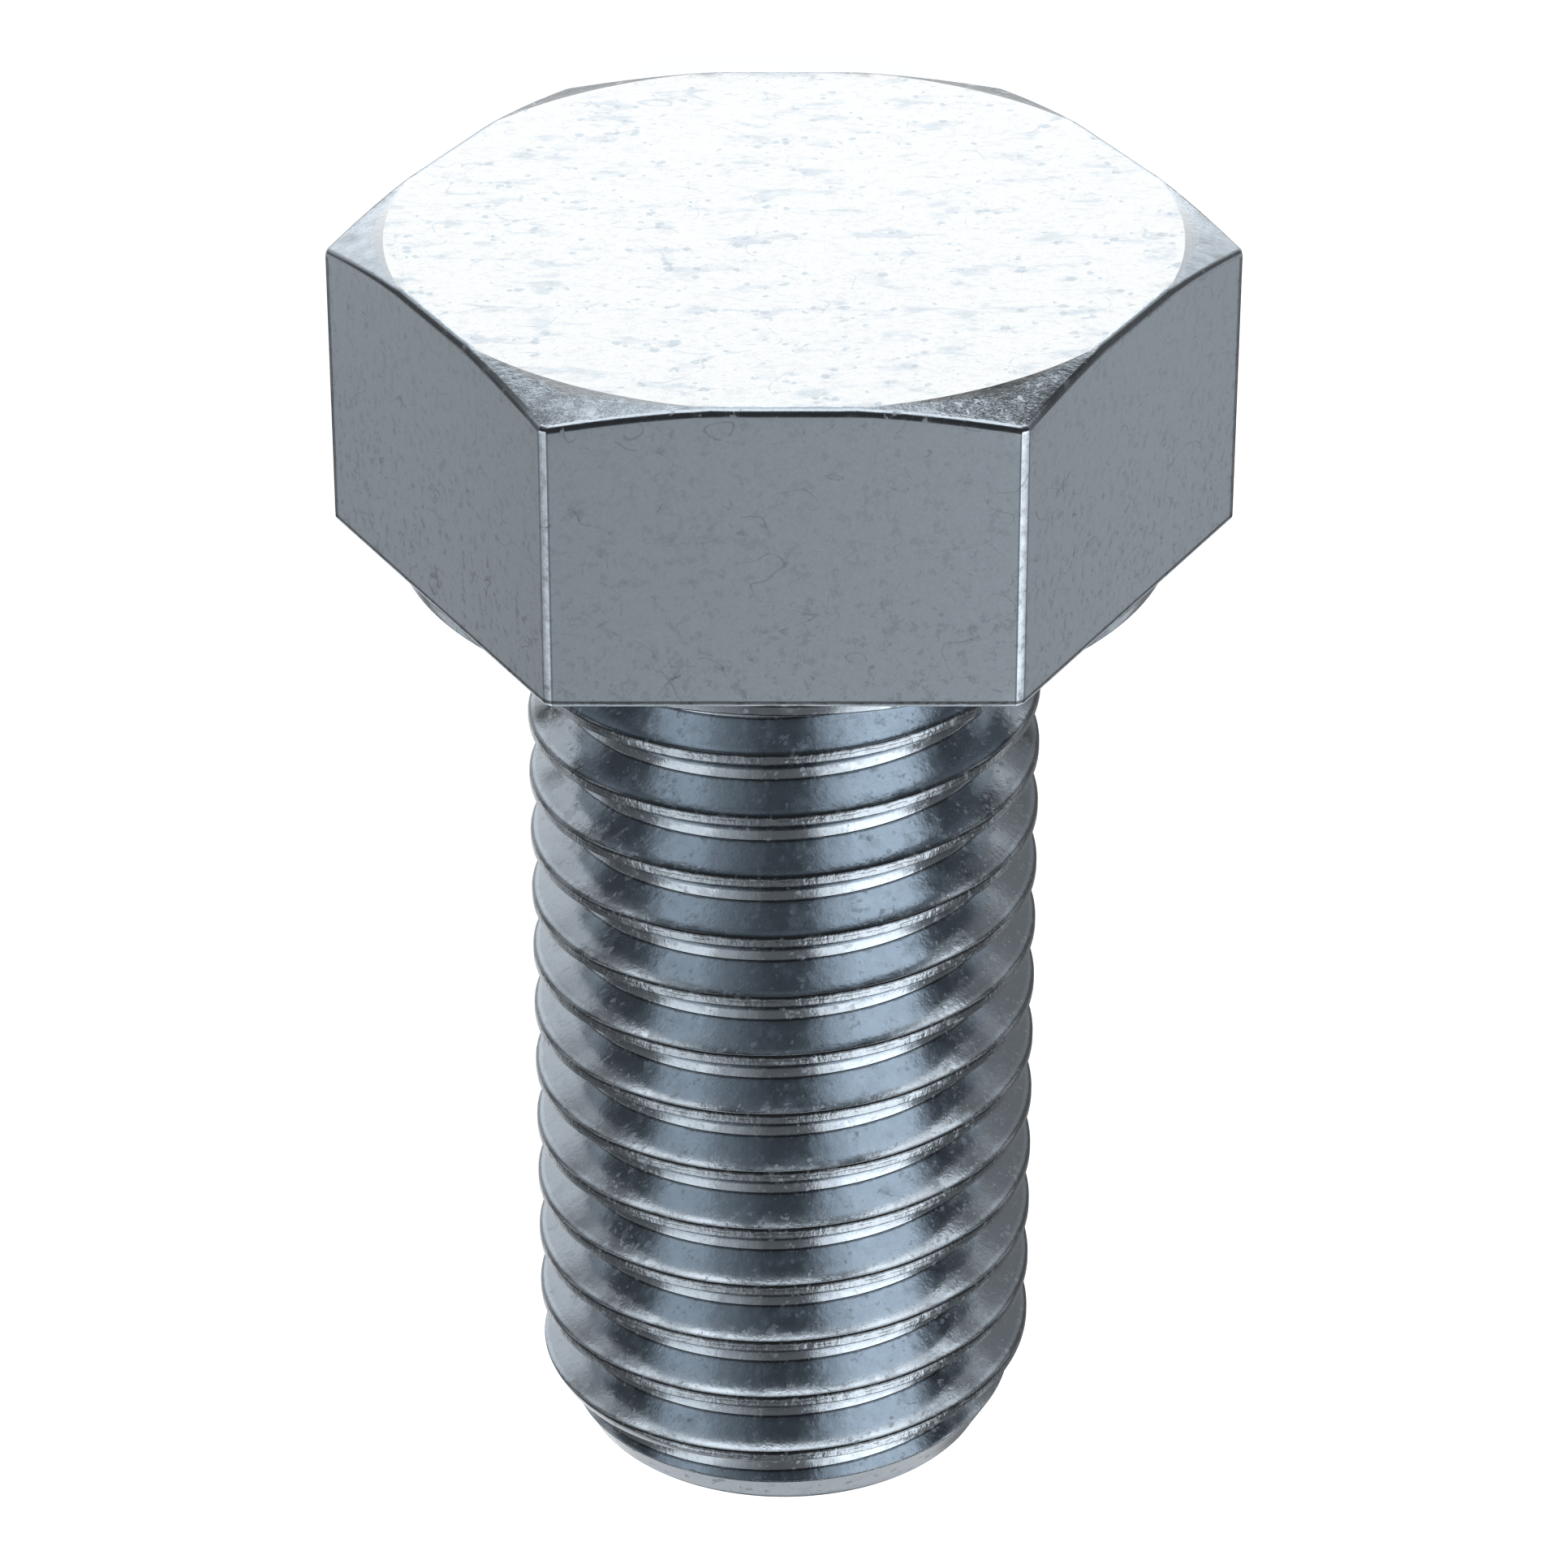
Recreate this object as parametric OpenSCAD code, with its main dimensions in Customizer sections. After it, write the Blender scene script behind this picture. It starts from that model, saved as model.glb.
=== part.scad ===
// Hex head cap screw, zinc plated steel, lying at rest on one flat of its head
// and on the edge of its point. Millimetres, +Z up, head towards +Y.
// Origin: centre of the bounding box, on the surface that it lies on.
// The shank is drawn at the outside diameter of its thread. The thread is right
// hand, 10 turns to the inch (2.54 mm pitch), 60 degree flanks, 1.35 mm deep.

/* [Head] */
// Width across flats
across_flats = 28.5; // [27.6:0.1:28.6]
// Height of the hexagon, without the washer face
hex_h = 11.5; // [10.8:0.1:12]
// How much wider than the flats the circle on top of the head is
crown_over = 0.05; // [0.05:0.05:0.6]
// Slope of the top chamfer below the top face, in degrees
crown_deg = 19; // [15:1:30]
// Radius of the top chamfer's slight dome, seen from the side
crown_dome = 60; // [45:5:100]
// How far each corner between two flats is broken
corner_break = 0.09; // [0.05:0.01:0.4]
// Size of the 45 degree break round the underside of the hexagon
under_break = 0.12; // [0.05:0.01:0.15]

/* [Washer face] */
// Height of the washer face under the hexagon
washer_h = 0.38; // [0.3:0.01:0.4]
// How far the rim of the washer face stays inside the flats
washer_inset = 0.1; // [0.1:0.05:1]

/* [Shank] */
// Outside diameter of the thread
thread_d = 19; // [18.6:0.05:19.05]
// Length under the head
length = 37.95; // [35:0.05:60]
// Radius of the fillet where the shank meets the head
neck_fillet = 0.8; // [0.5:0.1:1.2]

/* [Point] */
// Diameter of the flat end
point_d = 15.72; // [14:0.02:17]
// Angle between the point's cone and the axis, in degrees
point_deg = 30; // [25:1:45]

/* [Hidden] */
$fn = 96;
flat_r = across_flats / 2;
corner_r = flat_r / cos(30);
broken_r = corner_r - corner_break;
crown_r = (across_flats + crown_over) / 2;
head_h = washer_h + hex_h;
point_h = (thread_d - point_d) / 2 / tan(point_deg);
// It rests on the underside edge of a flat and on the start of the point's
// cone: [height along the axis from the bearing face, distance from the axis]
rest_flat = [washer_h + under_break, flat_r];
rest_point = [-(length - point_h), thread_d / 2];
// Angle that the axis makes with the surface when both of them touch it
lean = atan((rest_flat[1] - rest_point[1]) / (rest_flat[0] - rest_point[0]));
// Where the bearing face's centre lies, with the origin under the box's centre
y_high = head_h * cos(lean) + flat_r * sin(lean);
y_low = -length * cos(lean) - point_d / 2 * sin(lean);
seat_y = -(y_high + y_low) / 2;
seat_z = rest_flat[1] * cos(lean) - rest_flat[0] * sin(lean);

// Outline that the head is turned to: broken corners and a slightly domed
// chamfer at the top
module head_envelope() {
    chord = (broken_r - crown_r) / cos(crown_deg);
    reach = sqrt(pow(crown_dome, 2) - pow(chord / 2, 2));
    rotate_extrude() intersection() {
        translate([0, washer_h - 1]) square([broken_r, hex_h + 1]);
        translate([(broken_r + crown_r) / 2 - reach * sin(crown_deg),
                   head_h - chord / 2 * sin(crown_deg) - reach * cos(crown_deg)])
            circle(r = crown_dome);
    }
}

// 45 degree cut along the underside edge of the flat that faces +Y
module under_cut() {
    translate([0, flat_r - under_break, washer_h]) rotate([45, 0, 0])
        translate([-corner_r, 0, -4]) cube([2 * corner_r, 4, 4]);
}

// Hexagon with two of its flats square to Y
module hexagon() {
    difference() {
        intersection() {
            translate([0, 0, washer_h]) cylinder(h = hex_h, r = corner_r, $fn = 6);
            head_envelope();
        }
        for (k = [0:5]) rotate([0, 0, 60 * k]) under_cut();
    }
}

// Washer face, shank and cone point, turned round the axis
module shank() {
    rotate_extrude()
        polygon([[0, -length], [point_d / 2, -length],
                 [thread_d / 2, point_h - length], [thread_d / 2, 0],
                 [flat_r - washer_inset, 0], [flat_r - washer_inset, washer_h],
                 [flat_r - 2, washer_h + 1], [0, washer_h + 1]]);
}

// Fillet under the head
module neck() {
    rotate_extrude() difference() {
        translate([thread_d / 2 - 1, -neck_fillet]) square([1 + neck_fillet, neck_fillet + washer_h / 2]);
        translate([thread_d / 2 + neck_fillet, -neck_fillet]) circle(r = neck_fillet);
    }
}

module hex_cap_screw() {
    color([0.60, 0.64, 0.68])
        translate([0, seat_y, seat_z]) rotate([lean - 90, 0, 0]) union() {
            hexagon();
            shank();
            neck();
        }
}

hex_cap_screw();
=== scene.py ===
import math

import bmesh
import bpy
import numpy as np
from mathutils import Matrix, Vector


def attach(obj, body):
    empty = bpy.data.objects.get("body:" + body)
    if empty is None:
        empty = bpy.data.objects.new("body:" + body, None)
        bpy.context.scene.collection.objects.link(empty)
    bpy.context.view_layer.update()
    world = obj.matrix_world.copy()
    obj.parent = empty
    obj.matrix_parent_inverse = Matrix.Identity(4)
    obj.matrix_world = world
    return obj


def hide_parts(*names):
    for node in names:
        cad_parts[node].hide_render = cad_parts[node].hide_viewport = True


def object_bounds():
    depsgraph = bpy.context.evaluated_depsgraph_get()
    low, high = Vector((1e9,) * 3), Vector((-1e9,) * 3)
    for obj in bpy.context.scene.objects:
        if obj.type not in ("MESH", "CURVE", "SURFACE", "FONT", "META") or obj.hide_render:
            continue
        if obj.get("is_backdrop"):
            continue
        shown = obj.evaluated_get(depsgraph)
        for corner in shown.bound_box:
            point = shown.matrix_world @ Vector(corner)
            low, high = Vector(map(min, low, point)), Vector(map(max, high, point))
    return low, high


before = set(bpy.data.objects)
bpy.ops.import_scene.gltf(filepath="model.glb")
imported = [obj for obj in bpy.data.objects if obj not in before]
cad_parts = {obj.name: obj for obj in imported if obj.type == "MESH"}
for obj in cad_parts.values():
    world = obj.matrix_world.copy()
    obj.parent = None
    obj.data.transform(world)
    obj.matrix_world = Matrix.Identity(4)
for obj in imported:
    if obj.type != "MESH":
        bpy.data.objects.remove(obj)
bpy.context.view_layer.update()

# ---------------------------------------------------------------- dimensions
# Millimetres, in the screw's own frame: z = 0 at the bearing face, +z towards
# the top of the head, -y the flat that lies upwards. They repeat the part's.
FLAT_R, HEX_H, WASHER_H = 14.25, 11.5, 0.38
HEAD_H = WASHER_H + HEX_H
CROWN_R, CROWN_TAN = 14.275, math.tan(math.radians(19))
WASHER_R = 14.175
THREAD_R, LENGTH, POINT_R = 9.5, 37.95, 7.86
POINT_TAN = math.tan(math.radians(30))
POINT_H = (THREAD_R - POINT_R) / POINT_TAN
NECK = 0.8
PITCH, DEPTH, CREST = 2.54, 1.35, 0.39
FLANK = DEPTH * math.tan(math.radians(30))
ROOT = PITCH - CREST - 2 * FLANK
CREST_AT_ZERO = -6.304          # height of the crest that starts at angle 0
COLUMNS = 192                   # round the shank
WORLD_L, CEILING_L, BACKDROP_L = 0.19, 0.05, 1.9   # the room's light, its dark ceiling, its backdrop
# painted pools of light and shade in the floor's glow, which the metal shows as painted reflections: beside the shank,
# at the sides, beyond the head
FLOOR_LEFT, FLOOR_RIGHT, FLOOR_SIDE, FLOOR_EDGE = 0.98, 0.28, 0.90, 0.16
FLOOR_BACK, FLOOR_BACK_L, FLOOR_BACK_R = 2.12, 1.40, 1.18
FLOOR_FAR_L, FLOOR_FAR_R = 1.03, 0.09

# roundings
CORNER_W, R_CORNER = 0.15, 0.08  # upright edges between the flats: half width of the strip, its softening
R_ARC = 0.30                    # edge between chamfer and flat
R_UNDER = 0.15                  # underside edge
R_CREST_UP, R_CREST_LOW, R_ROOT, R_ROOT_UP = 0.20, 0.09, 0.11, 0.40
K_POINT = 0.10                  # where the cone cuts the thread

# placement, as in the part's source
REST_FLAT = (WASHER_H + 0.12, FLAT_R)
REST_POINT = (-(LENGTH - POINT_H), THREAD_R)
LEAN = math.atan((REST_FLAT[1] - REST_POINT[1]) / (REST_FLAT[0] - REST_POINT[0]))
Y_HIGH = HEAD_H * math.cos(LEAN) + FLAT_R * math.sin(LEAN)
Y_LOW = -LENGTH * math.cos(LEAN) - POINT_R * math.sin(LEAN)
SEAT = np.array([0.0, -(Y_HIGH + Y_LOW) / 2, FLAT_R * math.cos(LEAN) - REST_FLAT[0] * math.sin(LEAN)])
AX = np.array([0.0, math.cos(LEAN), math.sin(LEAN)])      # towards the head
UP = np.array([0.0, -math.sin(LEAN), math.cos(LEAN)])     # out of the upper flat


def placed(p):
    """Screw frame, mm, to row frame, metres."""
    p = np.asarray(p, float)
    return (SEAT + p[..., :1] * np.array([1.0, 0, 0]) - p[..., 1:2] * UP + p[..., 2:3] * AX) / 1000


# ------------------------------------------------------------------- builder
class Builder:
    """Collects points with their texture facts, and faces with their corner UVs."""

    def __init__(self):
        self.co, self.phase, self.zone = [], [], []
        self.faces, self.uv = [], []

    def add(self, p, zone, phase=(1.0, 0.0, 0.0)):
        self.co.append(p)
        self.zone.append(zone)
        self.phase.append(phase)
        return len(self.co) - 1

    def face(self, idx, uv):
        self.faces.append(tuple(idx))
        self.uv.extend(uv)


B = Builder()
UVS = 1 / 93.0                   # map units for each millimetre


def ring_uv(centre, p):
    return (centre[0] + p[0] * UVS, centre[1] + p[1] * UVS)


def zip_rings(a, b, uv_of, flip=False):
    """Triangles between two closed rings given as [(angle, index)], sorted by angle."""
    a, b = sorted(a), sorted(b)
    na, nb = len(a), len(b)
    i = j = 0
    # start b at the point nearest to a[0]
    off = min(range(nb), key=lambda k: abs((b[k][0] - a[0][0] + math.pi) % (2 * math.pi) - math.pi))
    bb = [((b[(off + k) % nb][0] + (2 * math.pi if off + k >= nb else 0)), b[(off + k) % nb][1]) for k in range(nb)]
    if bb[0][0] - a[0][0] > math.pi:
        bb = [(t - 2 * math.pi, k) for t, k in bb]
    aa = a + [(a[0][0] + 2 * math.pi, a[0][1])]
    bb = bb + [(bb[0][0] + 2 * math.pi, bb[0][1])]
    while i < na or j < nb:
        if j >= nb or (i < na and aa[i + 1][0] <= bb[j + 1][0]):
            tri = (aa[i][1], aa[i + 1][1], bb[j][1])
            i += 1
        else:
            tri = (aa[i][1], bb[j + 1][1], bb[j][1])
            j += 1
        if flip:
            tri = tri[::-1]
        B.face(tri, [uv_of(k) for k in tri])


# ---------------------------------------------------------------------- head
# Zones: 0 top, 1 chamfer, 2 flats, 3 edges, 4 underside and washer face,
# 5 thread, 6 point and neck.
def outline():
    """Columns round the hexagon: plan position, plan normal. Each corner is broken by
    a narrow strip with softened edges."""
    c30, s30 = math.cos(math.radians(30)), 0.5
    far = FLAT_R / c30 - CORNER_W * math.tan(math.radians(30))
    t = R_CORNER * math.tan(math.radians(15))
    half = FLAT_R * math.tan(math.radians(30)) - CORNER_W / c30 - t
    middle = np.array([far - R_CORNER, CORNER_W - t])
    arc = [(middle + R_CORNER * np.array([math.cos(math.radians(q)), math.sin(math.radians(q))]), q) for q in (0, 15, 30)]
    points = [(np.array([q[0], -q[1]]), -a) for q, a in arc[::-1]] + [(np.array([far, 0.0]), 0)] + arc
    columns = []
    for k in range(6):
        c = math.radians(60 * k)
        turned = np.array([[math.cos(c), -math.sin(c)], [math.sin(c), math.cos(c)]])
        for q, a in points:
            columns.append((turned @ q, np.array([math.cos(c + math.radians(a)), math.sin(c + math.radians(a))])))
        m = math.radians(60 * k + 30)
        n, v = np.array([math.cos(m), math.sin(m)]), np.array([-math.sin(m), math.cos(m)])
        for f in np.linspace(-half, half, 27)[1:-1]:
            columns.append((FLAT_R * n + f * v, n))
    return columns


def cone_z(r):
    return HEAD_H - max(0.0, r - CROWN_R) * CROWN_TAN


cols = outline()
NH = len(cols)
DISC_C = (0.83, 0.82)            # middles of the round charts
BASE_C = (0.83, 0.47)
END_C = (0.83, 0.18)
WALL_V = 0.735                   # two strips of three flats each

profile = []                     # for each column, its rows from top to bearing face
for p, n in cols:
    r = float(np.hypot(*p))
    ur = p / r
    cosn = float(ur @ n)
    ie = (r - CROWN_R) / cosn    # inset of the top circle along the wall's normal
    sig = math.atan(CROWN_TAN * cosn)
    rho = R_ARC
    if ie < rho * (1 + (1 - 1 / math.cos(sig)) / math.tan(sig)):
        sig, zc = 0.0, HEAD_H
    else:
        zc = cone_z(r)
    it = rho * (1 - math.sin(sig))
    zt = zc + it * math.tan(sig)
    cz = zt - rho * math.cos(sig)
    q = p - n * it
    e = ur * CROWN_R if sig > 0 else q * (1 - 0.004)
    rows_j = []
    for f in (0.17, 0.36, 0.55, 0.72, 0.86, 0.95):
        rows_j.append((e[0] * f, e[1] * f, HEAD_H, 0))
    rows_j.append((e[0], e[1], HEAD_H, 0))
    for f in (0.3, 0.65):
        w = e + (q - e) * f
        rows_j.append((w[0], w[1], HEAD_H if sig == 0 else cone_z(float(np.hypot(*w))), 1))
    na = 7
    for k in range(na + 1):
        a = sig + (math.pi / 2 - sig) * k / na
        w = p - n * (rho - rho * math.sin(a))
        rows_j.append((w[0], w[1], cz + rho * math.cos(a), 3 if 0 < k < na else (1 if k == 0 else 2)))
    zw, zb = cz, WASHER_H + R_UNDER
    for f in (0.05, 0.35, 0.65, 0.95, 1.0):
        rows_j.append((p[0], p[1], zw + (zb - zw) * f, 2))
    # underside rounding, cut short where the washer face reaches it
    wmax = (r - WASHER_R) / cosn
    amax = math.pi / 2 if wmax >= R_UNDER else math.acos(1 - wmax / R_UNDER)
    for k in range(1, 5):
        a = amax * k / 4
        w = p - n * R_UNDER * (1 - math.cos(a))
        rows_j.append((w[0], w[1], WASHER_H + R_UNDER - R_UNDER * math.sin(a), 3))
    last = np.array(rows_j[-1][:2])
    lz = rows_j[-1][2]
    w = ur * WASHER_R
    for f in (0.5,):
        x = last + (w - last) * f
        rows_j.append((x[0], x[1], lz, 4))
    rows_j.append((w[0], w[1], lz, 4))
    rows_j.append((w[0], w[1], lz * 0.5 + 0.03, 4))
    for k in range(0, 4):
        a = math.pi / 2 * k / 3
        x = ur * (WASHER_R - 0.06 * (1 - math.cos(a)))
        rows_j.append((x[0], x[1], 0.06 - 0.06 * math.sin(a), 4))
    profile.append(rows_j)
NR = len(profile[0])

# charts for the head: plan view for the top rows and the bottom rows, unrolled for the wall
perim = [0.0]
for j in range(NH):
    a, b = cols[j][0], cols[(j + 1) % NH][0]
    perim.append(perim[-1] + float(np.hypot(*(b - a))))
total = perim[-1]
FIRST_WALL, LAST_WALL = 12, 25


def wall_uv(j, k, wrap_hi):
    """j may equal NH for the closing column."""
    s = perim[j]
    half = total / 2
    strip = 1 if s > half + 1e-6 or (abs(s - half) <= 1e-6 and wrap_hi) else 0
    s -= strip * half
    z = profile[j % NH][k][2]
    arc = (HEAD_H - z)
    return (0.01 + s * UVS, WALL_V + 0.135 * (strip + 1) - 0.005 - arc * UVS)


centre = B.add((0.0, 0.0, HEAD_H), 0)
idx = [[B.add(profile[j][k][:3], profile[j][k][3]) for j in range(NH)] for k in range(NR)]
for j in range(NH):
    j2 = (j + 1) % NH
    tri = (centre, idx[0][j], idx[0][j2])
    B.face(tri, [ring_uv(DISC_C, B.co[t]) for t in tri])
for k in range(NR - 1):
    for j in range(NH):
        j2 = (j + 1) % NH
        quad = (idx[k][j], idx[k + 1][j], idx[k + 1][j2], idx[k][j2])
        if k < FIRST_WALL:
            uv = [ring_uv(DISC_C, B.co[t]) for t in quad]
        elif k < LAST_WALL:
            mid = (perim[j] + perim[j + 1]) / 2
            hi = mid > total / 2
            uv = [wall_uv(j, k, hi), wall_uv(j, k + 1, hi), wall_uv(j + 1, k + 1, hi), wall_uv(j + 1, k, hi)]
        else:
            uv = [ring_uv(BASE_C, B.co[t]) for t in quad]
        B.face(quad, uv)

# ---------------------------------------------------------------------- neck
ang = np.arange(COLUMNS) * 2 * math.pi / COLUMNS
neck = []
for k in range(8):
    a = math.pi / 2 * k / 7
    r = THREAD_R + NECK * (1 - math.sin(a))
    z = -NECK * (1 - math.cos(a))
    neck.append([B.add((r * math.cos(t), r * math.sin(t), z), 6) for t in ang])
zip_rings([(math.atan2(B.co[i][1], B.co[i][0]), i) for i in idx[-1]],
          [(math.atan2(B.co[i][1], B.co[i][0]), i) for i in neck[0]],
          lambda t: ring_uv(BASE_C, B.co[t]), flip=True)
for k in range(7):
    for j in range(COLUMNS):
        j2 = (j + 1) % COLUMNS
        quad = (neck[k][j], neck[k + 1][j], neck[k + 1][j2], neck[k][j2])
        B.face(quad, [ring_uv(BASE_C, B.co[t]) for t in quad])


# -------------------------------------------------------------------- thread
def rounded(points, radii, counts):
    """Polyline with its inner corners rounded: [(u, depth)]."""
    out = [points[0]]
    for i in range(1, len(points) - 1):
        p0, p1, p2 = (np.array(q, float) for q in points[i - 1:i + 2])
        a, b = p0 - p1, p2 - p1
        la, lb = np.hypot(*a), np.hypot(*b)
        n = counts[i - 1]
        if la < 1e-9 or lb < 1e-9 or radii[i - 1] <= 0:
            out += [tuple(p1)] * (n + 1)
            continue
        a, b = a / la, b / lb
        turn = math.pi - math.acos(max(-1, min(1, float(a @ b))))
        r = radii[i - 1]
        t = min(r * math.tan(turn / 2), la * 0.49, lb * 0.49)
        r = t / math.tan(turn / 2) if turn > 1e-6 else 0
        s, e = p1 + a * t, p1 + b * t
        bis = a + b
        lbis = np.hypot(*bis)
        if lbis < 1e-9 or r < 1e-9:
            out += [tuple(p1)] * (n + 1)
            continue
        c = p1 + bis / lbis * (r / math.cos(turn / 2))
        v0, v1 = s - c, e - c
        a0, a1 = math.atan2(v0[1], v0[0]), math.atan2(v1[1], v1[0])
        d = (a1 - a0 + math.pi) % (2 * math.pi) - math.pi
        for k in range(n + 1):
            t_ = a0 + d * k / n
            out.append((c[0] + r * math.cos(t_), c[1] + r * math.sin(t_)))
    out.append(points[-1])
    return out


def groove(g):
    """Section of one pitch, from crest middle to crest middle: [(height above the groove's middle, depth)]."""
    e, h, w = ROOT / 2 + g * FLANK, DEPTH * g, ROOT / 2
    raw = [(PITCH / 2, 0), (e, 0), (w, h), (-w, h), (-e, 0), (-PITCH / 2, 0)]
    pts = rounded(raw, [R_CREST_LOW * g, R_ROOT_UP * g, R_ROOT * g, R_CREST_UP * g], [3, 5, 3, 5])
    # more rows on the flank that faces the head
    i = 1 + 4 + 6 + 4
    a, b = np.array(pts[i - 1]), np.array(pts[i])
    pts[i:i] = [tuple(a + (b - a) * f) for f in (0.25, 0.5, 0.75)]
    return pts


def smooth(x):
    x = max(0.0, min(1.0, x))
    return x * x * (3 - 2 * x)


def crest_z(t):
    return CREST_AT_ZERO + PITCH * t / 360


def cone_r(z):
    return POINT_R + (z + LENGTH) * POINT_TAN


Z_TOP, Z_END = -NECK, -LENGTH + 0.10
STEP = 360 / COLUMNS
first, last_c = math.floor(-4500 / STEP), math.ceil(1150 / STEP)
K = len(groove(1.0))
full = groove(1.0)

pm = bmesh.new()                 # in the space (angle, height, thread radius less cone radius)
grid = []
rad = {}
for i in range(first, last_c + 1):
    t = i * STEP
    g = 1 - smooth((t - 655) / 250)
    sec = full if g >= 1 else groove(g)
    col = []
    for u, d in sec:
        z = crest_z(t) - PITCH / 2 + u
        rt = THREAD_R - d
        col.append(pm.verts.new((math.radians(t), z, rt - cone_r(z))))
    grid.append(col)
for i in range(len(grid) - 1):
    for k in range(K - 1):
        a, b, c, d = grid[i][k], grid[i][k + 1], grid[i + 1][k + 1], grid[i + 1][k]
        if min(v.co.y for v in (a, b, c, d)) > Z_TOP or max(v.co.y for v in (a, b, c, d)) < Z_END:
            continue
        pm.faces.new((a, b, c, d))
bmesh.ops.delete(pm, geom=[v for v in pm.verts if not v.link_faces], context="VERTS")


def cut(co, no, clear_outer=False, clear_inner=False, near=None):
    geom = pm.verts[:] + pm.edges[:] + pm.faces[:]
    bmesh.ops.bisect_plane(pm, geom=geom, dist=1e-5, plane_co=co, plane_no=no,
                           clear_outer=clear_outer, clear_inner=clear_inner)


cut((0, Z_TOP, 0), (0, 1, 0), clear_outer=True)
cut((0, Z_END, 0), (0, 1, 0), clear_inner=True)
for f in (-K_POINT, -K_POINT / 3, K_POINT / 3, K_POINT):
    cut((0, 0, f), (0, 0, 1))


def section_arc():
    """Length along the full section as a function of the height below a crest's middle."""
    u = np.array([PITCH / 2 - q[0] for q in full])
    d = np.array([q[1] for q in full])
    s = np.concatenate([[0], np.cumsum(np.hypot(np.diff(u), np.diff(d)))])
    return u, s


ARC_U, ARC_S = section_arc()
TURN = float(ARC_S[-1])
V_LOW = (-4500 / 360) * TURN
SEAM = math.radians(90)          # on the side that lies down

where = {}
ends = {"top": [], "end": []}


def weld(v):
    """The vertex for a point of the parameter mesh, shared where turns meet."""
    t, z, f = v.co
    rc = cone_r(z)
    rt = f + rc
    r = min(rt, rc)
    if abs(f) < K_POINT:
        r -= (K_POINT - abs(f)) ** 2 / (4 * K_POINT)
    x, y = r * math.cos(t), r * math.sin(t)
    key = (round(x * 2e4), round(y * 2e4), round(z * 2e4))
    for dx in (0, -1, 1):
        for dy in (0, -1, 1):
            for dz in (0, -1, 1):
                k2 = (key[0] + dx, key[1] + dy, key[2] + dz)
                if k2 in where:
                    return where[k2]
    ph = 2 * math.pi * (z - crest_z(math.degrees(t))) / PITCH
    i = B.add((x, y, z), 5 if f < 0 else 6, (math.cos(ph), math.sin(ph), 1.0))
    where[key] = i
    if abs(z - Z_TOP) < 2e-5:
        ends["top"].append(i)
    if abs(z - Z_END) < 2e-5:
        ends["end"].append(i)
    return i


made = {}
for v in pm.verts:
    made[v] = weld(v)
for f in pm.faces:
    ts = [v.co.x for v in f.verts]
    mid = (min(ts) + max(ts)) / 2
    turn = math.floor((mid - SEAM) / (2 * math.pi))
    ids, uvs = [], []
    for v in f.verts:
        i = made[v]
        if i in ids:
            continue
        t, z = v.co.x, v.co.y
        below = crest_z(math.degrees(t)) - z
        arc = math.degrees(t) / 360 * TURN - float(np.interp(below, ARC_U, ARC_S))
        ids.append(i)
        uvs.append((0.01 + ((t - SEAM) - turn * 2 * math.pi) * THREAD_R * UVS, 0.01 + (arc - V_LOW) * UVS))
    if len(ids) >= 3:
        # faces run down the section and then round, so they are turned to face outwards
        B.face(ids, uvs)
pm.free()

ring = lambda ids: [(math.atan2(B.co[i][1], B.co[i][0]), i) for i in ids]
zip_rings(ring(neck[-1]), ring(ends["top"]), lambda t: ring_uv(BASE_C, B.co[t]), flip=True)

# ----------------------------------------------------------------------- end
tail = []
r0 = cone_r(Z_END)
for k in range(1, 5):
    f = k / 4
    # a small rounding from the cone to the flat end
    z = Z_END - 0.10 * (1 - (1 - f) ** 2)
    r = r0 - 0.115 * f ** 1.6
    tail.append([B.add((r * math.cos(t), r * math.sin(t), z), 6) for t in ang])
zip_rings(ring(ends["end"]), ring(tail[0]), lambda t: ring_uv(END_C, B.co[t]), flip=True)
for q in (0.8, 0.55, 0.3):
    tail.append([B.add((r * q * math.cos(t), r * q * math.sin(t), -LENGTH), 6) for t in ang])
for k in range(len(tail) - 1):
    for j in range(COLUMNS):
        j2 = (j + 1) % COLUMNS
        quad = (tail[k][j], tail[k + 1][j], tail[k + 1][j2], tail[k][j2])
        B.face(quad, [ring_uv(END_C, B.co[t]) for t in quad])
tip = B.add((0.0, 0.0, -LENGTH), 6)
for j in range(COLUMNS):
    tri = (tail[-1][j], tip, tail[-1][(j + 1) % COLUMNS])
    B.face(tri, [ring_uv(END_C, B.co[t]) for t in tri])

# ---------------------------------------------------------------------- mesh
me = bpy.data.meshes.new("screw")
me.from_pydata([tuple(p) for p in placed(np.array(B.co))], [], B.faces)
uvl = me.uv_layers.new(name="OFBake")
uvl.data.foreach_set("uv", np.array(B.uv, np.float32).ravel())
at = me.attributes.new("section", "FLOAT_VECTOR", "POINT")
at.data.foreach_set("vector", np.array(B.phase, np.float32).ravel())
zone = np.array(B.zone)
at = me.attributes.new("own", "FLOAT_VECTOR", "POINT")
at.data.foreach_set("vector", np.array(B.co, np.float32).ravel())
for name, which in (("is_flat", (2,)), ("is_top", (0,)), ("is_thread", (5,)), ("is_chamfer", (1,)), ("is_edge", (3,))):
    at = me.attributes.new(name, "FLOAT", "POINT")
    at.data.foreach_set("value", np.isin(zone, which).astype(np.float32))
me.validate()
bm = bmesh.new()
bm.from_mesh(me)
bmesh.ops.recalc_face_normals(bm, faces=bm.faces)
open_edges = sum(1 for e in bm.edges if len(e.link_faces) != 2)
volume = bm.calc_volume(signed=True) * 1e9
for e in bm.edges:
    if len(e.link_faces) == 2:
        e.smooth = e.calc_face_angle(0) < math.radians(15.5)
for f in bm.faces:
    f.smooth = True
tris = sum(len(f.verts) - 2 for f in bm.faces)
bm.to_mesh(me)
bm.free()
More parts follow.
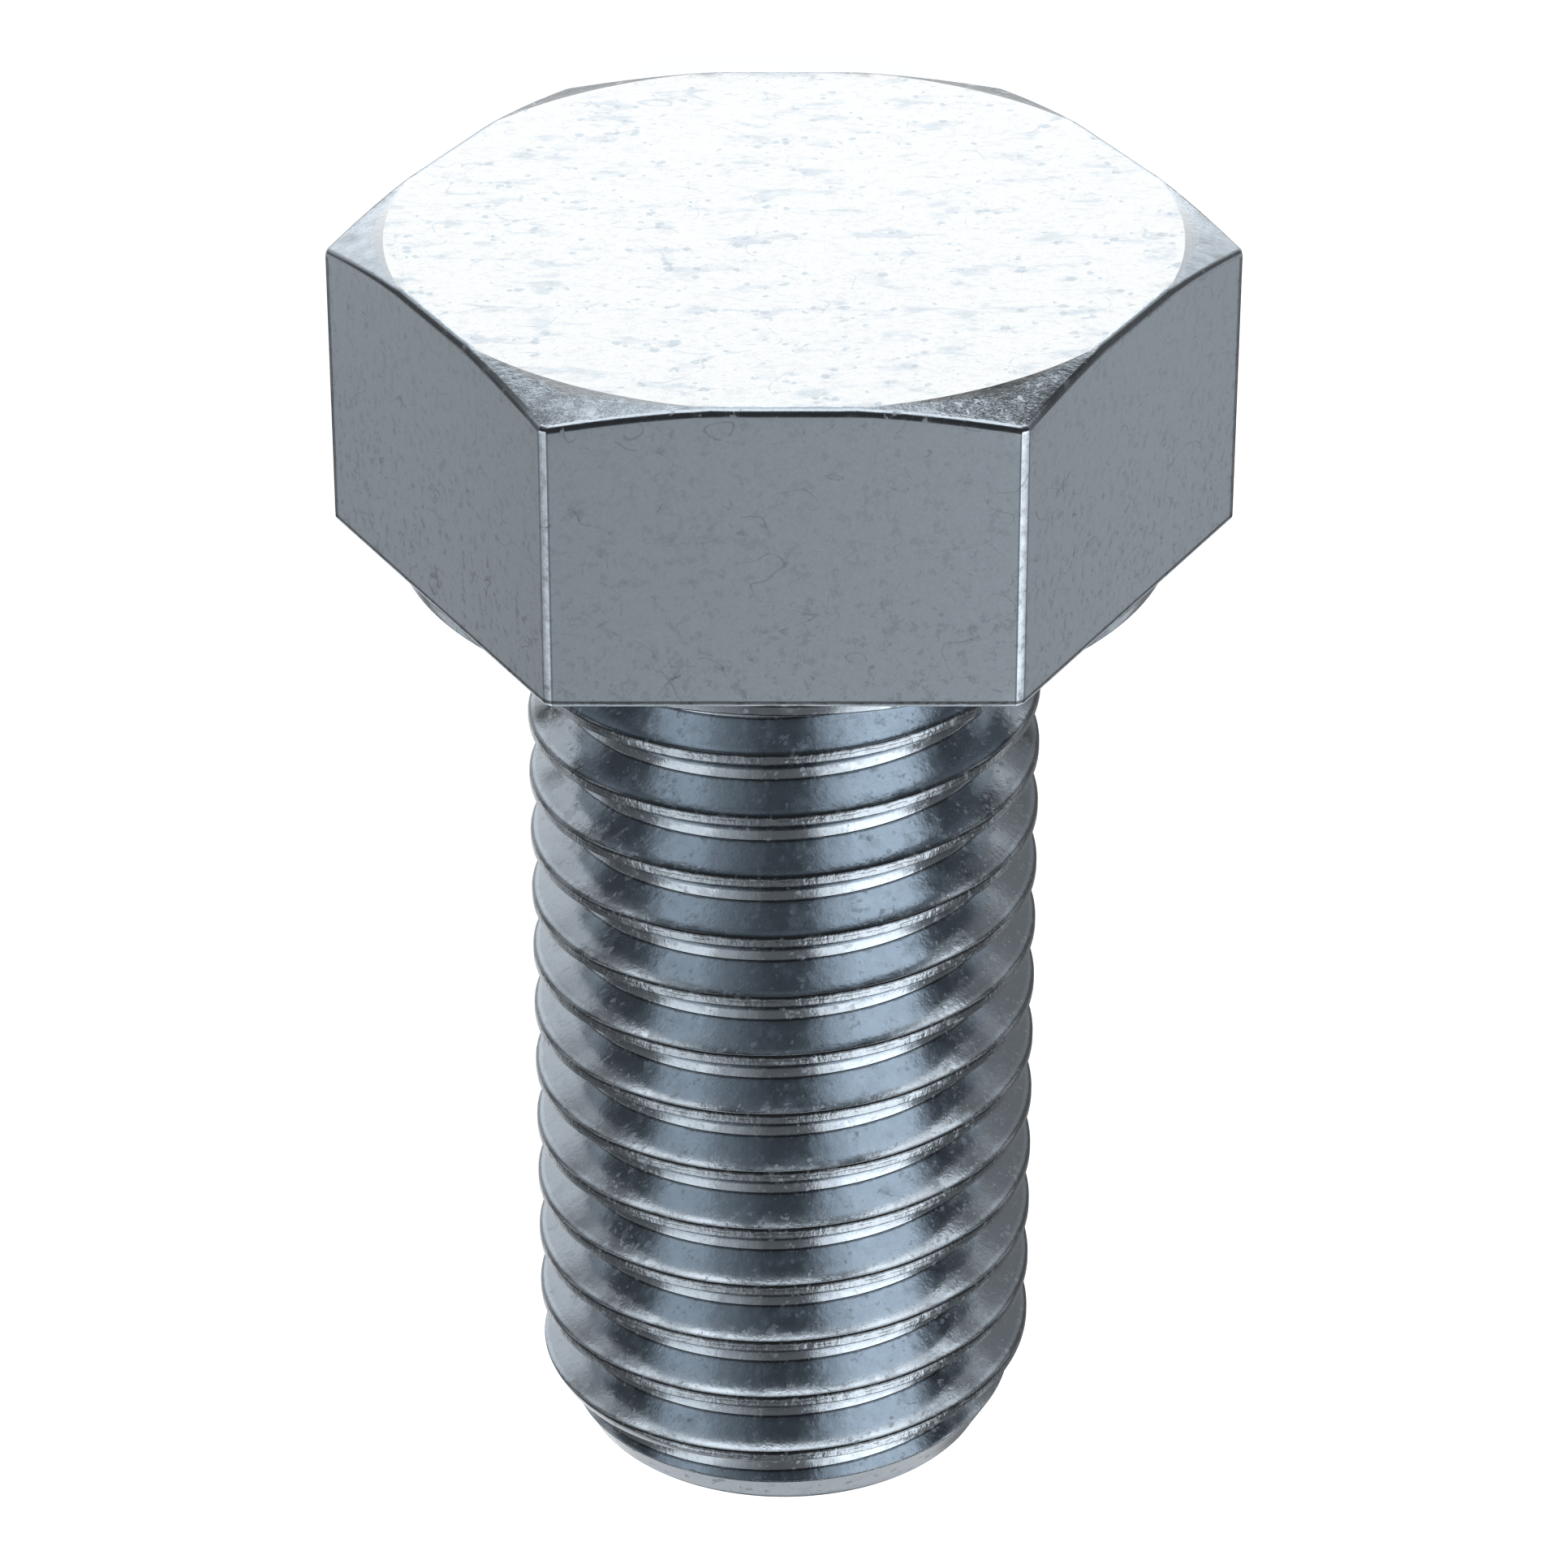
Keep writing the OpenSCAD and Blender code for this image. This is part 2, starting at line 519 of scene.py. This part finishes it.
print("screw: open edges", open_edges, "volume mm3", round(volume, 1), "triangles", tris, "verts", len(me.vertices))

screw = bpy.data.objects.new("screw", me)
bpy.context.scene.collection.objects.link(screw)
wn = screw.modifiers.new("even normals", "WEIGHTED_NORMAL")
wn.keep_sharp = True
wn.weight = 80


# ------------------------------------------------------------------ material
def new_material(name):
    m = bpy.data.materials.new(name)
    m.use_nodes = True
    m.node_tree.nodes.clear()
    return m, m.node_tree.nodes, m.node_tree.links


zinc, N, L = new_material("zinc_plate")


def node(kind, **kw):
    n = N.new(kind)
    for k, v in kw.items():
        if k == "inputs":
            for name, val in v.items():
                n.inputs[name].default_value = val
        else:
            setattr(n, k, v)
    return n


def feed(socket, v):
    if isinstance(v, (int, float, tuple)):
        socket.default_value = v
    else:
        L.new(v, socket)


def maths(op, a, b=None, clamp=False):
    n = node("ShaderNodeMath", operation=op, use_clamp=clamp)
    feed(n.inputs[0], a)
    if b is not None:
        feed(n.inputs[1], b)
    return n.outputs[0]


def add(a, b):
    return maths("ADD", a, b)


def times(a, b):
    return maths("MULTIPLY", a, b)


def ramp(v, x0, x1, y0=0.0, y1=1.0, kind="SMOOTHSTEP"):
    n = node("ShaderNodeMapRange", interpolation_type=kind)
    feed(n.inputs["Value"], v)
    for name, val in (("From Min", x0), ("From Max", x1), ("To Min", y0), ("To Max", y1)):
        feed(n.inputs[name], val)
    return n.outputs[0]


def blend(under, over, weight):
    """under + (over - under) * weight."""
    return add(times(under, maths("SUBTRACT", 1.0, weight)), times(over, weight))


def stretched(v, x, y, z, shift=(0, 0, 0)):
    n = node("ShaderNodeVectorMath", operation="MULTIPLY_ADD")
    L.new(v, n.inputs[0])
    n.inputs[1].default_value = (x, y, z)
    n.inputs[2].default_value = shift
    return n.outputs[0]


def noise(v, scale, detail=2.0, rough=0.5, warp=0.0):
    n = node("ShaderNodeTexNoise", inputs={"Scale": scale, "Detail": detail, "Roughness": rough, "Distortion": warp})
    L.new(v, n.inputs["Vector"])
    return n.outputs[0]


def attribute(name):
    return node("ShaderNodeAttribute", attribute_name=name)


def colour(c, factor):
    """A colour times a number."""
    n = node("ShaderNodeVectorMath", operation="SCALE")
    feed(n.inputs[0], c)
    feed(n.inputs["Scale"], factor)
    return n.outputs[0]


def mix_colour(a, b, weight):
    n = node("ShaderNodeMix", data_type="RGBA")
    feed(n.inputs[6], a)
    feed(n.inputs[7], b)
    feed(n.inputs[0], weight)
    return n.outputs[2]


own = attribute("own").outputs["Vector"]
is_flat = attribute("is_flat").outputs["Fac"]
is_top = attribute("is_top").outputs["Fac"]
is_thread = attribute("is_thread").outputs["Fac"]
is_chamfer = attribute("is_chamfer").outputs["Fac"]
is_edge = attribute("is_edge").outputs["Fac"]
parts = node("ShaderNodeSeparateXYZ")
L.new(own, parts.inputs[0])
ox, oy, oz = parts.outputs

# round the axis, in millimetres at the crests, with the seam on the side that lies down
turn = times(maths("ARCTAN2", ox, times(oy, -1.0)), THREAD_R)
radial = maths("SQRT", add(times(ox, ox), times(oy, oy)))
wrap = node("ShaderNodeCombineXYZ")
L.new(turn, wrap.inputs[0])
L.new(radial, wrap.inputs[1])
L.new(oz, wrap.inputs[2])
rolled = wrap.outputs[0]

# distance from the middle of the crest, across it
ph = node("ShaderNodeSeparateXYZ")
L.new(attribute("section").outputs["Vector"], ph.inputs[0])
over = times(maths("ARCTAN2", ph.outputs[1], ph.outputs[0]), PITCH / (2 * math.pi))

# One set of patterns serves every zone; only their coordinates and weights differ.
def vectors(a, b, weight):
    n = node("ShaderNodeMix", data_type="VECTOR")
    feed(n.inputs[4], a)
    feed(n.inputs[5], b)
    feed(n.inputs[0], weight)
    return n.outputs[1]


# clouds: stretched sideways on the top, stretched round the thread
where_c = vectors(own, stretched(own, 0.30, 0.62, 1.0), is_top)
cloud = noise(where_c, 1.35, 3.0, 0.66)
# mottle: fine, and drawn out along the rolling on the thread
where_m = vectors(stretched(own, 2.3, 3.4, 2.3), stretched(rolled, 1.9, 1.9, 1.3), is_thread)
mottle = noise(where_m, 1.0, 3.0, 0.72)
grain = noise(own, 10.0, 1.0, 0.6)
# dots of mixed sizes
cell = node("ShaderNodeTexVoronoi", inputs={"Scale": 2.9, "Randomness": 1.0})
bent = node("ShaderNodeVectorMath", operation="MULTIPLY_ADD")
L.new(mottle, bent.inputs[0])
bent.inputs[1].default_value = (0.55, 0.35, 0.55)
L.new(own, bent.inputs[2])
finer = node("ShaderNodeVectorMath", operation="SCALE")
L.new(bent.outputs[0], finer.inputs[0])
L.new(add(1.0, times(is_thread, 0.7)), finer.inputs["Scale"])
L.new(finer.outputs[0], cell.inputs["Vector"])
pick = node("ShaderNodeSeparateColor")
L.new(cell.outputs["Color"], pick.inputs[0])
size = times(times(times(pick.outputs[0], pick.outputs[0]), blend(pick.outputs[0], 1.0, is_thread)), blend(1.0, pick.outputs[0], is_top))
size = times(size, ramp(cloud, 0.38, 0.60, 0.26, 0.72))
dot = ramp(maths("SUBTRACT", size, cell.outputs["Distance"]), 0.0, 0.12)
# curved hairlines, where a smooth noise crosses its middle
where_h = vectors(stretched(own, 0.40, 0.40, 0.55), stretched(own, 0.20, 0.34, 1.0), is_top)
wave = maths("ABSOLUTE", maths("SUBTRACT", noise(where_h, 1.0, 1.0, 0.55), 0.5))
hair = times(ramp(wave, 0.0, 0.0070, 1.0, 0.0), ramp(cloud, 0.46, 0.52))

smudge = ramp(cloud, 0.53, 0.68)
fleck = times(ramp(mottle, 0.55, 0.63), blend(1.0, ramp(oz, 1.0, 10.0, 1.15, 0.45), is_flat))

# worn crest of the thread: ragged along its edges, with a dark seam
ragged = add(over, times(maths("SUBTRACT", mottle, 0.5), 0.22))
slight = add(over, times(maths("SUBTRACT", mottle, 0.5), 0.05))
worn = times(is_thread, ramp(maths("ABSOLUTE", ragged), 0.12, 0.20, 1.0, 0.0))
seam = times(is_thread, times(ramp(maths("ABSOLUTE", maths("SUBTRACT", ragged, 0.01)), 0.010, 0.035, 1.0, 0.0), ramp(cloud, 0.44, 0.54)))
# painted shade: the rolled shoulder above the crest is painted dark, with a painted highlight line (shine) over it
shoulder_shade = times(is_thread, times(ramp(ragged, 0.09, 0.13), ramp(slight, 0.24, 0.27, 1.0, 0.0)))
shine = times(is_thread, times(ramp(slight, 0.26, 0.28), ramp(slight, 0.32, 0.36, 1.0, 0.0)))
# painted shade: thin dark lines painted under the crest and where the root meets the flank
crease_shade = times(is_thread, maths("MAXIMUM", ramp(maths("ABSOLUTE", add(slight, 0.185)), 0.014, 0.036, 1.0, 0.0),
                                 ramp(maths("ABSOLUTE", maths("SUBTRACT", slight, 0.955)), 0.012, 0.034, 1.0, 0.0)))


def line_at(height, half):
    return ramp(maths("ABSOLUTE", add(maths("SUBTRACT", oz, height), times(maths("SUBTRACT", mottle, 0.5), 0.05))), half * 0.6, half * 1.4, 1.0, 0.0)


# painted shade: dark lines painted round the underside of the hexagon and round the washer face, with a painted
# highlight line on the underside rounding
edge_shade_lines = times(ramp(radial, 13.9, 14.0), maths("MAXIMUM", line_at(0.590, 0.058), maths("MAXIMUM", line_at(0.375, 0.030), line_at(0.03, 0.035))))
underside_highlight = times(ramp(radial, 13.9, 14.0), line_at(0.487, 0.030))
# painted shade: a dark outline painted along the outermost sides of the flats
silhouette_shade = times(is_flat, ramp(maths("ABSOLUTE", ox), 16.22, 16.27))

# roughness
rough = add(0.18, add(times(smudge, blend(0.12, 0.05, is_top)), times(dot, blend(blend(0.30, 0.20, is_thread), 0.06, is_top))))
rough = add(rough, times(maths("SUBTRACT", mottle, 0.5), 0.22))
rough = add(rough, times(worn, 0.05))
rough = blend(rough, add(0.475, times(fleck, 0.05)), is_flat)
# the rounded strips between the flats are smoother, with a painted dark line on each side
perp = times(radial, maths("SINE", maths("PINGPONG", maths("ARCTAN2", oy, ox), math.pi / 6)))
strip_w = times(is_flat, ramp(perp, 0.14, 0.17, 1.0, 0.0))
rough = blend(rough, add(0.30, times(maths("SUBTRACT", mottle, 0.5), 0.3)), strip_w)
rough = maths("MINIMUM", maths("MAXIMUM", rough, 0.12), 0.7)

# colour: what each kind of mark takes away, with painted shade and painted highlights among them
loss = times(is_flat, add(times(fleck, 0.17), add(times(dot, 0.12), times(hair, 0.28))))
loss = add(loss, times(is_top, add(times(dot, 0.10), add(times(hair, 0.08), add(times(smudge, 0.06), times(fleck, 0.03))))))
loss = add(loss, add(times(seam, 0.45), times(is_chamfer, add(times(dot, -0.30), times(maths("SUBTRACT", cloud, 0.5), -1.3)))))
loss = add(loss, times(times(is_thread, dot), -0.14))
# painted shade on the shoulder and in the creases, painted highlight from shine, and the worn crest's own tone
loss = add(loss, add(times(shoulder_shade, 0.50), add(times(crease_shade, 0.55), add(times(worn, 0.19), times(shine, -0.20)))))
# painted shade lines and a painted highlight round the underside; a painted dark outline at the flats' outer sides
loss = add(loss, add(times(edge_shade_lines, 0.72), add(times(underside_highlight, -1.1), times(silhouette_shade, 0.6))))
# painted shade: the rounded upper edges are darkened towards the sides
loss = add(loss, times(is_edge, times(ramp(maths("ABSOLUTE", ox), 8.3, 9.2), ramp(oz, 2.0, 4.0, 0.0, 0.42))))
# painted shade: a thin dark line painted along each side of the rounded strips
loss = add(loss, times(is_flat, times(0.40, ramp(maths("ABSOLUTE", maths("SUBTRACT", perp, 0.185)), 0.012, 0.036, 1.0, 0.0))))
loss = add(loss, times(strip_w, add(0.24, times(maths("SUBTRACT", mottle, 0.5), 0.5))))
loss = add(loss, add(times(maths("SUBTRACT", grain, 0.5), 0.22), times(maths("SUBTRACT", mottle, 0.5), 0.12)))
tint = mix_colour((0.375, 0.425, 0.475, 1.0), (0.425, 0.436, 0.442, 1.0), is_top)
marks = times(is_top, maths("MAXIMUM", times(dot, 0.50), maths("MAXIMUM", times(hair, 0.45), maths("MAXIMUM", times(smudge, 0.42), times(fleck, 0.10)))))
tint = mix_colour(tint, (0.25, 0.33, 0.39, 1.0), marks)
base = colour(tint, maths("SUBTRACT", add(1.0, times(is_flat, 0.10)), maths("MINIMUM", loss, 0.85)))

# relief, in millimetres
relief = times(maths("SUBTRACT", grain, 0.5), 0.0020)
uneven = add(times(worn, 0.030), add(times(is_thread, 0.010), times(is_chamfer, 0.030)))
relief = add(relief, times(maths("SUBTRACT", mottle, 0.5), uneven))

bump = node("ShaderNodeBump", inputs={"Strength": 1.0, "Distance": 0.001})
L.new(relief, bump.inputs["Height"])
out = node("ShaderNodeOutputMaterial")
bsdf = node("ShaderNodeBsdfPrincipled", inputs={"Metallic": 1.0})
L.new(base, bsdf.inputs["Base Color"])
L.new(rough, bsdf.inputs["Roughness"])
L.new(bump.outputs[0], bsdf.inputs["Normal"])
L.new(bsdf.outputs[0], out.inputs["Surface"])
me.materials.append(zinc)

# -------------------------------------------------------------------- stage
fl = bpy.data.meshes.new("floor")
S = 3.0
fl.from_pydata([(-S, -S, -2e-5), (S, -S, -2e-5), (S, S, -2e-5), (-S, S, -2e-5)], [], [(0, 1, 2, 3)])
floor = bpy.data.objects.new("floor", fl)
bpy.context.scene.collection.objects.link(floor)
pale, N, L = new_material("pale_floor")


# The floor is plain and pale to the camera. For all other rays it glows with painted pools of light and shade, which
# the metal shows as painted reflections: bright beyond the head, softer beside the shank.
geo = node("ShaderNodeNewGeometry")
xyz = node("ShaderNodeSeparateXYZ")
L.new(geo.outputs["Position"], xyz.inputs[0])
fx, fy = xyz.outputs[0], xyz.outputs[1]

apart = maths("ABSOLUTE", fx)
painted_glow = blend(FLOOR_EDGE, ramp(apart, 0.055, 0.085, FLOOR_SIDE, FLOOR_EDGE), ramp(fy, -0.030, -0.018, 0.0, 1.0))
painted_glow = blend(painted_glow, 0.84, times(ramp(fy, -0.046, -0.034, 1.0, 0.0), ramp(apart, 0.040, 0.052, 1.0, 0.0)))
painted_glow = blend(painted_glow, ramp(fx, -0.032, -0.020, 0.24, FLOOR_LEFT), times(
    times(ramp(fy, 0.010, 0.024, 1.0, 0.0), ramp(fy, -0.046, -0.036, 0.0, 1.0)), times(ramp(fx, -0.040, -0.034, 0.0, 1.0), ramp(fx, -0.006, 0.004, 1.0, 0.0))))
painted_glow = blend(painted_glow, FLOOR_RIGHT, times(
    times(ramp(fy, 0.020, 0.025, 1.0, 0.0), ramp(fy, -0.040, -0.030, 0.0, 1.0)), times(ramp(fx, 0.034, 0.040, 1.0, 0.0), ramp(fx, -0.002, 0.006, 0.0, 1.0))))
# painted shadow: the floor's glow close beside the head, and close under its far end, is turned down to stand in for
# the head's shade
painted_glow = blend(painted_glow, 0.06, times(times(ramp(apart, 0.0150, 0.0165, 0.0, 1.0), ramp(apart, 0.0185, 0.0200, 1.0, 0.0)),
                               times(ramp(fy, 0.009, 0.012, 0.0, 1.0), ramp(fy, 0.0250, 0.0280, 1.0, 0.0))))
painted_glow = blend(painted_glow, 0.60, times(ramp(fy, 0.0215, 0.0240, 0.0, 1.0), ramp(apart, 0.0130, 0.0150, 1.0, 0.0)))
# painted pool of light on the floor beyond the head, seen in the head's top
beyond = ramp(fy, 0.0263, 0.0273, 0.0, 1.0)
across = blend(ramp(fx, -0.0215, -0.0155, FLOOR_BACK_L, FLOOR_BACK), FLOOR_BACK_R, ramp(fx, 0.0155, 0.0215, 0.0, 1.0))
across = blend(0.18, blend(across, 0.25, ramp(fx, 0.026, 0.034, 0.0, 1.0)), ramp(fx, -0.041, -0.026, 0.0, 1.0))
painted_glow = blend(painted_glow, across, beyond)
distant = blend(ramp(fx, -0.031, -0.022, 0.30, FLOOR_FAR_L), FLOOR_FAR_R, ramp(fx, 0.0115, 0.0235, 0.0, 1.0))
distant = blend(distant, 1.9, ramp(fy, 0.115, 0.170, 0.0, 1.0))
painted_glow = blend(painted_glow, distant, ramp(fy, 0.050, 0.080, 0.0, 1.0))
glow = node("ShaderNodeEmission", inputs={"Color": (1, 1, 1, 1)})
L.new(painted_glow, glow.inputs["Strength"])
seen = node("ShaderNodeBsdfDiffuse", inputs={"Color": (0.8, 0.8, 0.8, 1)})
lift = node("ShaderNodeEmission", inputs={"Color": (1, 1, 1, 1), "Strength": 0.8})
both = node("ShaderNodeAddShader")
L.new(seen.outputs[0], both.inputs[0])
L.new(lift.outputs[0], both.inputs[1])
path = node("ShaderNodeLightPath")
mix = node("ShaderNodeMixShader")
L.new(path.outputs["Is Camera Ray"], mix.inputs[0])
L.new(glow.outputs[0], mix.inputs[1])
L.new(both.outputs[0], mix.inputs[2])
fo = node("ShaderNodeOutputMaterial")
L.new(mix.outputs[0], fo.inputs["Surface"])
fl.materials.append(pale)

world = bpy.data.worlds.new("studio")
bpy.context.scene.world = world
world.use_nodes = True
N, L = world.node_tree.nodes, world.node_tree.links
bg = N["Background"]
bg.inputs["Strength"].default_value = 1.0
# a dark ceiling from a little behind the zenith down over the head
aim = node("ShaderNodeSeparateXYZ")
L.new(node("ShaderNodeTexCoord").outputs["Generated"], aim.inputs[0])
lean_off = maths("ARCTAN2", aim.outputs[1], aim.outputs[2])
dark = times(ramp(lean_off, math.radians(-24), math.radians(-12)), ramp(lean_off, math.radians(56), math.radians(68), 1.0, 0.0))
room = blend(WORLD_L, CEILING_L, dark)
# a pale backdrop beyond the head, low down
screen = times(ramp(lean_off, math.radians(58), math.radians(66)), times(
    ramp(aim.outputs[1], 0.0, 0.1), ramp(maths("ABSOLUTE", aim.outputs[0]), 0.35, 0.60, 1.0, 0.0)))
room = blend(room, BACKDROP_L, screen)
room = blend(room, 1.0, node("ShaderNodeLightPath").outputs["Is Camera Ray"])
room_c = node("ShaderNodeCombineColor")
for i in range(3):
    L.new(room, room_c.inputs[i])
L.new(room_c.outputs[0], bg.inputs["Color"])


def area(name, at, to, size, size_y, radiance, spread=180, glossy=True):
    """A softbox of that radiance, its long side along the screw."""
    d = bpy.data.lights.new(name, "AREA")
    d.shape = "RECTANGLE"
    d.size, d.size_y = size, size_y
    d.energy = radiance * math.pi * size * size_y
    d.spread = math.radians(spread)
    o = bpy.data.objects.new(name, d)
    bpy.context.scene.collection.objects.link(o)
    at, to = Vector(at), Vector(to)
    back = (at - to).normalized()
    y = Vector((0, 1, 0)) - back * back.y
    y.normalize()
    x = y.cross(back)
    o.matrix_world = Matrix(((x.x, y.x, back.x, at.x), (x.y, y.y, back.y, at.y), (x.z, y.z, back.z, at.z), (0, 0, 0, 1)))
    o.visible_camera = False
    o.visible_glossy = glossy
    return o


def strip(name, side, az0, az1, radiance, dist=0.40, y0=-0.62, y1=0.03):
    """A long softbox beside the screw, from az0 to az1 degrees off the vertical."""
    mid = math.radians((az0 + az1) / 2)
    half = math.radians((az1 - az0) / 2)
    return area(name, (side * dist * math.sin(mid), (y0 + y1) / 2, dist * math.cos(mid) + 0.012),
                (0, (y0 + y1) / 2, 0.012), 2 * dist * math.tan(half), y1 - y0, radiance)


strip("softbox_right_1", 1, 18, 70, 1.55)
strip("softbox_right_2", 1, 32, 70, 0.95)
strip("softbox_left_1", -1, 40, 69, 0.90)
strip("softbox_left_2", -1, 25, 69, 0.32)
strip("softbox_left_3", -1, 14, 69, 0.20)

# ------------------------------------------------------------------- camera
d = math.cos(math.radians(29.921)) * UP + math.sin(math.radians(29.921)) * AX
target = SEAT - 10.853 * AX
upv = AX - float(AX @ d) * d
upv /= np.linalg.norm(upv)
pos = (target + 241.6 * d) / 1000
cd = bpy.data.cameras.new("camera")
cd.sensor_width = 36.0
cd.lens = 148.37
cd.clip_start, cd.clip_end = 0.01, 20.0
cam = bpy.data.objects.new("camera", cd)
bpy.context.scene.collection.objects.link(cam)
cam.matrix_world = Matrix(((1, upv[0], d[0], pos[0]), (0, upv[1], d[1], pos[1]), (0, upv[2], d[2], pos[2]), (0, 0, 0, 1)))
bpy.context.scene.camera = cam
bpy.context.scene.view_settings.view_transform = "Standard"
bpy.context.scene.cycles.use_light_tree = False

# -------------------------------------------------------------------- finish
floor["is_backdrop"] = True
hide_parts("hex_cap_screw")
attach(screw, "root")
lo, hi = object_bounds()
